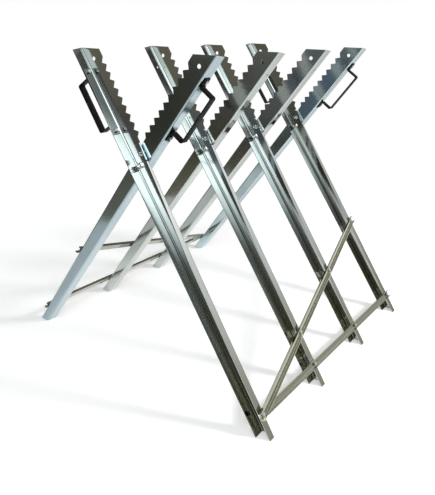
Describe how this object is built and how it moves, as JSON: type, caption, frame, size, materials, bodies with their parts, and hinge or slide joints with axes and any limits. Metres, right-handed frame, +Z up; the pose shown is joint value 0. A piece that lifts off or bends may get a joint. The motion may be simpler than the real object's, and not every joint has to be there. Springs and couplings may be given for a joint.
{
  "type": "log saw stand",
  "caption": "Folding sheet-steel saw stand: crossed legs with toothed jaws in a row hold logs for cutting, joined by bolted channel braces, with bent strap carrying handles.",
  "frame": {"origin": "on the floor in the middle of the stand, under the line of pivots", "axes": "+X across the stand towards the feet of the first legs, +Y along the log from the first frame to the fourth, +Z up"},
  "size_m": [0.7944, 0.844, 0.8],
  "materials": {
    "leg_steel": "galvanised, glossy",
    "brace_steel": "galvanised, glossy",
    "backing_steel": "galvanised",
    "handle_black": "black, satin",
    "bright_zinc": "bright zinc"
  },
  "bodies": {
    "first_legs": {"leg_a1": "leg_steel", "leg_a2": "leg_steel", "leg_a3": "leg_steel", "leg_a4": "leg_steel", "low_brace_a": "brace_steel", "diagonal_brace_a": "brace_steel", "handle_a1": "handle_black", "handle_a4": "handle_black", "backing_a1": "backing_steel", "backing_a4": "backing_steel", "pivot_bolts": "bright_zinc", "pivot_nuts": "bright_zinc", "pivot_spacers": "bright_zinc", "pivot_washers": "bright_zinc", "stop_bolts": "bright_zinc", "stop_nuts": "bright_zinc", "stop_spacers": "bright_zinc", "stop_washers": "bright_zinc", "brace_bolts_a": "bright_zinc", "brace_nuts_a": "bright_zinc", "brace_spacers_a": "bright_zinc", "handle_bolts_a": "bright_zinc", "handle_nuts_a": "bright_zinc"},
    "second_legs": {"leg_b1": "leg_steel", "leg_b2": "leg_steel", "leg_b3": "leg_steel", "leg_b4": "leg_steel", "low_brace_b": "brace_steel", "diagonal_brace_b": "brace_steel", "handle_b1": "handle_black", "handle_b4": "handle_black", "backing_b1": "backing_steel", "backing_b4": "backing_steel", "brace_bolts_b": "bright_zinc", "brace_nuts_b": "bright_zinc", "brace_spacers_b": "bright_zinc", "handle_bolts_b": "bright_zinc", "handle_nuts_b": "bright_zinc"}
  },
  "joints": [
    {"name": "fold", "type": "hinge", "parent": "first_legs", "child": "second_legs", "pos_m": [0, 0, 0.571], "axis": [0, -1, 0], "range_deg": [0, 60]}
  ]
}
